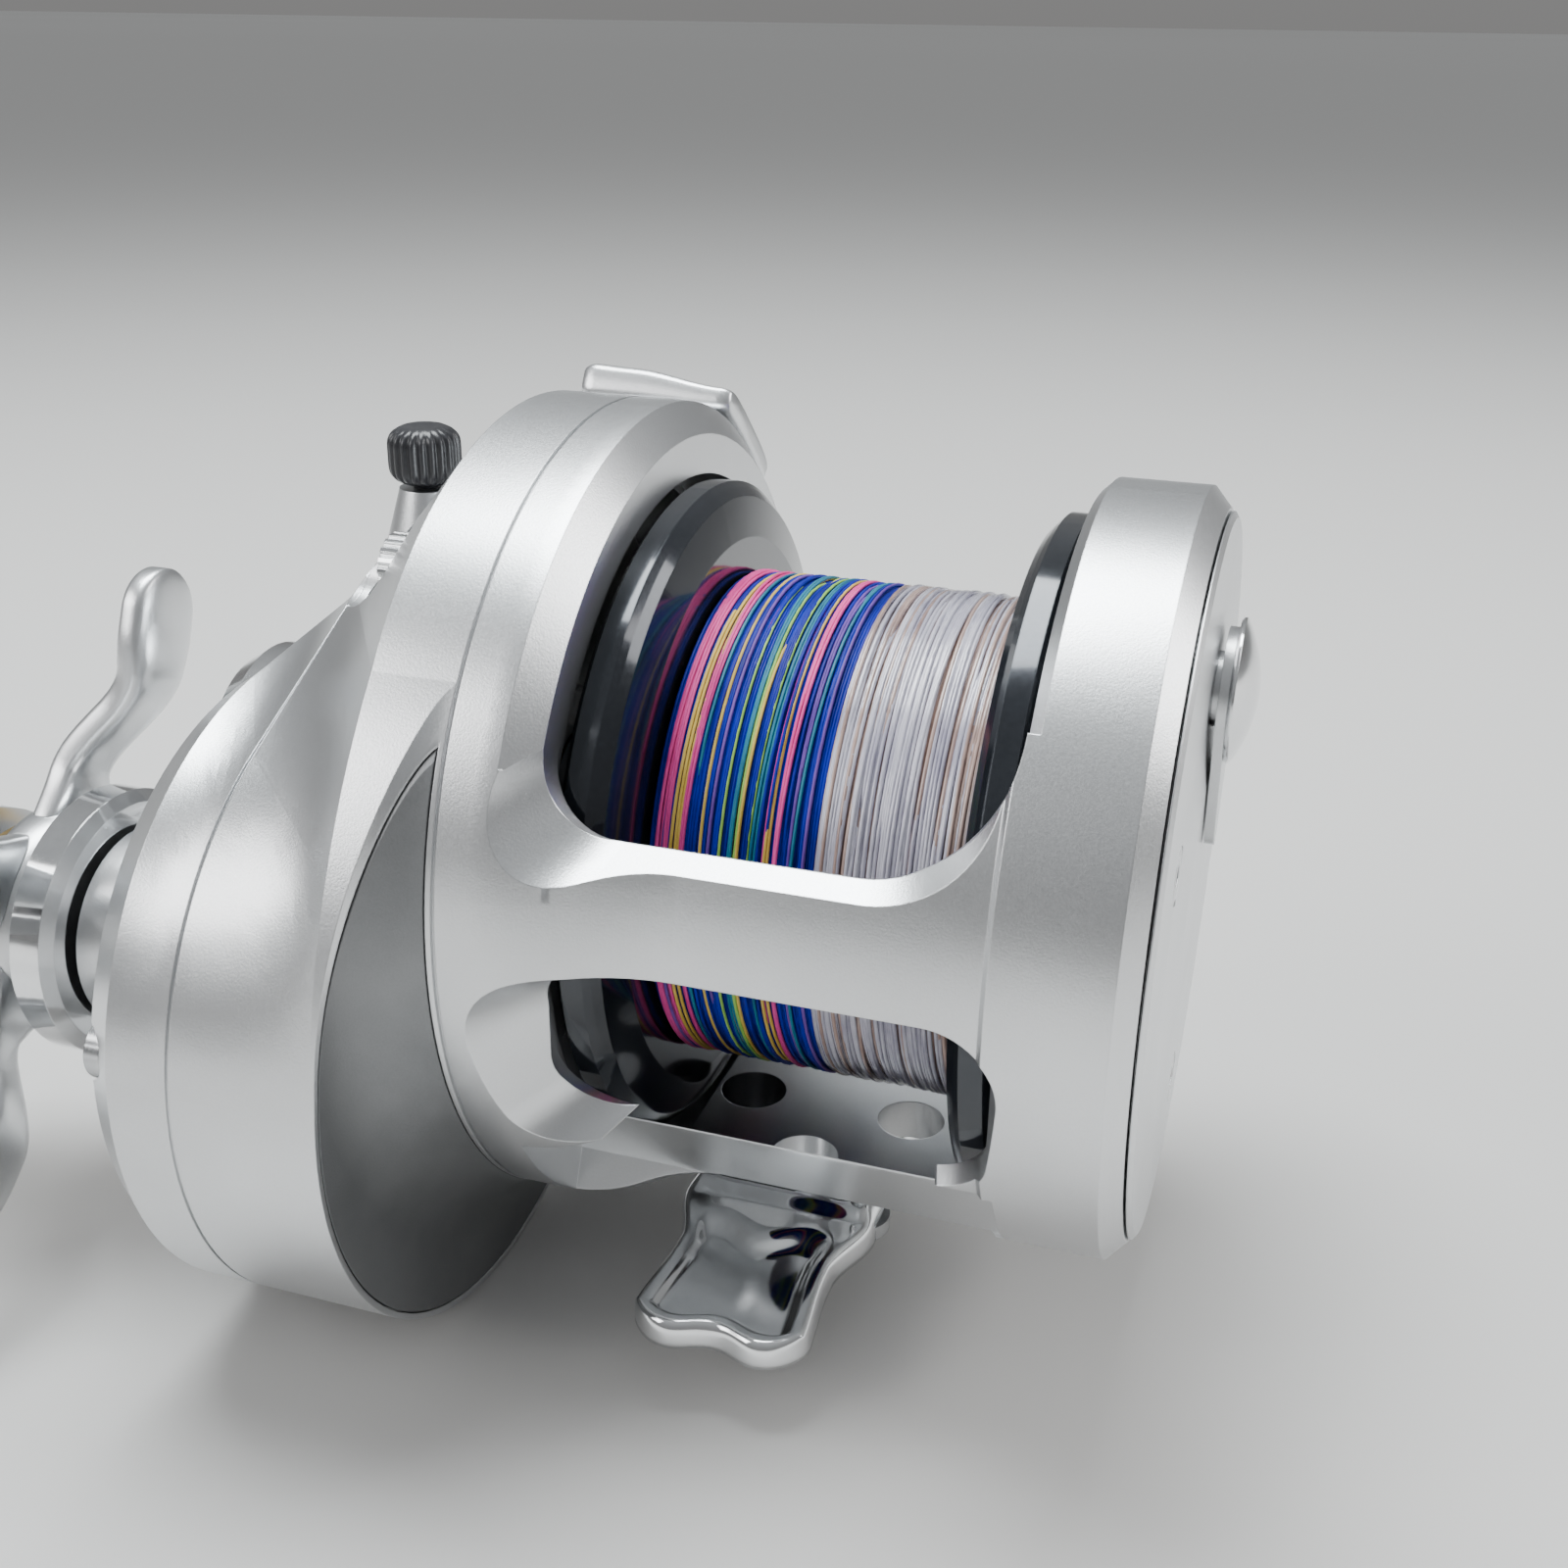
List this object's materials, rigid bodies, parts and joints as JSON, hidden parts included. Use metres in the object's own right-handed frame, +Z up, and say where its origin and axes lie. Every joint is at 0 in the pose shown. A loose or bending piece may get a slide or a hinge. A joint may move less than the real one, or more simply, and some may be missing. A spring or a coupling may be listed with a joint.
{
  "type": "baitcasting reel",
  "caption": "Overhead multiplier fishing reel: open one-piece frame, gear case, star drag, crank handle and a spool wound with line, on a rod foot.",
  "frame": {"origin": "middle of the underside of the reel foot, the face that sits on the rod", "axes": "+X along the spool's axis, away from the handle; -Y towards the rod's tip; +Z up from the rod's seat"},
  "size_m": [0.1568, 0.1365, 0.085],
  "materials": {
    "satin_aluminium": "satin silver anodised",
    "polished_metal": "polished",
    "dark_plate": "matte dark grey",
    "gunmetal": "glossy black anodised",
    "steel": "machined",
    "brass": "machined",
    "bronze": "machined",
    "braided_line": "woven, in bands of five colours",
    "clear_line": "clear nylon, glossy",
    "carbon_fibre": "woven, matte",
    "dark_plastic": "moulded",
    "black_knob": "moulded, semi-gloss",
    "grip_rubber": "moulded, matte"
  },
  "bodies": {
    "reel": {"frame": "satin_aluminium", "handle_side_case": "satin_aluminium", "gear_case_plate": "dark_plate", "handle_side_cover": "satin_aluminium", "reel_foot": "polished_metal", "foot_screws": "steel", "yoke_guide_pins": "steel", "yoke_springs": "steel", "drive_shaft_bearing": "steel", "roller_clutch": "steel", "clutch_housing": "satin_aluminium", "palm_side_plate": "satin_aluminium", "side_plate_screws": "steel", "spool_bearing_right": "steel", "spool_bearing_left": "steel", "pinion_bearing": "steel", "tension_disc": "bronze", "tension_sleeve": "brass", "click_boss": "satin_aluminium", "pawl_pin": "steel", "pawl_spring": "steel", "case_screws": "steel"},
    "spool_group": {"spool": "gunmetal", "line_braid": "braided_line", "line_leader": "clear_line", "spool_shaft": "steel", "spool_cross_pin": "steel", "click_wheel": "brass"},
    "yoke_group": {"clutch_yoke": "dark_plastic"},
    "pinion_group": {"pinion_gear": "brass"},
    "clutch_group": {"clutch_lever": "polished_metal", "clutch_cam": "dark_plastic"},
    "drive_group": {"drive_shaft": "steel", "drive_gear": "brass", "ratchet_wheel": "steel", "drag_washers": "carbon_fibre", "drag_plates": "steel", "clutch_sleeve": "steel", "handle_arm": "satin_aluminium", "handle_nut": "polished_metal", "nut_keeper": "polished_metal", "keeper_screw": "steel", "knob_spindle": "steel"},
    "star_group": {"star_drag": "polished_metal", "drag_collar": "polished_metal", "star_nut": "brass", "spring_washers": "steel"},
    "grip_group": {"handle_knob": "grip_rubber", "knob_cap": "polished_metal", "knob_bearing": "steel"},
    "brake_group": {"brake_lever": "satin_aluminium", "lever_knob": "polished_metal", "lever_screw": "steel", "brake_cam": "brass"},
    "tension_group": {"tension_cap": "polished_metal"},
    "click_group": {"click_knob": "black_knob"},
    "takedown_group": {"takedown_screw": "polished_metal"},
    "pawl_group": {"anti_reverse_pawl": "steel"}
  },
  "joints": [
    {"name": "handle_spin", "type": "hinge", "parent": "reel", "child": "drive_group", "pos_m": [-0.0452, -0.0137, 0.0224], "axis": [1, 0, 0], "continuous": true},
    {"name": "spool_spin", "type": "hinge", "parent": "reel", "child": "spool_group", "pos_m": [0.0048, 0, 0.0365], "axis": [1, 0, 0], "continuous": true},
    {"name": "clutch_press", "type": "hinge", "parent": "reel", "child": "clutch_group", "pos_m": [-0.0282, 0, 0.0365], "axis": [-1, 0, 0], "range_deg": [0, 16]},
    {"name": "yoke_slide", "type": "slide", "parent": "reel", "child": "yoke_group", "axis": [-1, 0, 0], "range_m": [0, 0.0016], "deforming": ["yoke_springs"]},
    {"name": "pinion_spin", "type": "hinge", "parent": "yoke_group", "child": "pinion_group", "pos_m": [-0.0352, 0, 0.0365], "axis": [1, 0, 0], "continuous": true},
    {"name": "star_turn", "type": "hinge", "parent": "drive_group", "child": "star_group", "pos_m": [-0.0672, -0.0137, 0.0224], "axis": [1, 0, 0], "range_deg": [0, 270]},
    {"name": "knob_spin", "type": "hinge", "parent": "drive_group", "child": "grip_group", "pos_m": [-0.0952, -0.08875, 0.0623], "axis": [1, 0, 0], "continuous": true},
    {"name": "brake_lever_turn", "type": "hinge", "parent": "reel", "child": "brake_group", "pos_m": [0.0348, 0.00112, 0.05246], "axis": [1, 0, 0], "range_deg": [0, 100]},
    {"name": "tension_cap_turn", "type": "hinge", "parent": "reel", "child": "tension_group", "pos_m": [-0.0512, 0, 0.0365], "axis": [1, 0, 0], "range_deg": [-180, 180]},
    {"name": "click_knob_turn", "type": "hinge", "parent": "reel", "child": "click_group", "pos_m": [-0.0407, 0.0085, 0.0635], "axis": [0, 0, 1], "range_deg": [0, 90]},
    {"name": "takedown_turn", "type": "hinge", "parent": "reel", "child": "takedown_group", "pos_m": [-0.0322, -0.011, 0.0589], "axis": [1, 0, 0], "range_deg": [-360, 0]},
    {"name": "pawl_swing", "type": "hinge", "parent": "reel", "child": "pawl_group", "pos_m": [-0.0337, -0.0077, 0.006], "axis": [1, 0, 0], "range_deg": [0, 12], "stiffness_Nm_per_rad": 0.002}
  ],
  "couplings": [
    {"joint": "spool_spin", "follows": "handle_spin", "ratio": -4.6154},
    {"joint": "pinion_spin", "follows": "handle_spin", "ratio": -4.6154},
    {"joint": "yoke_slide", "follows": "clutch_press", "m_per_rad": 0.0056}
  ]
}
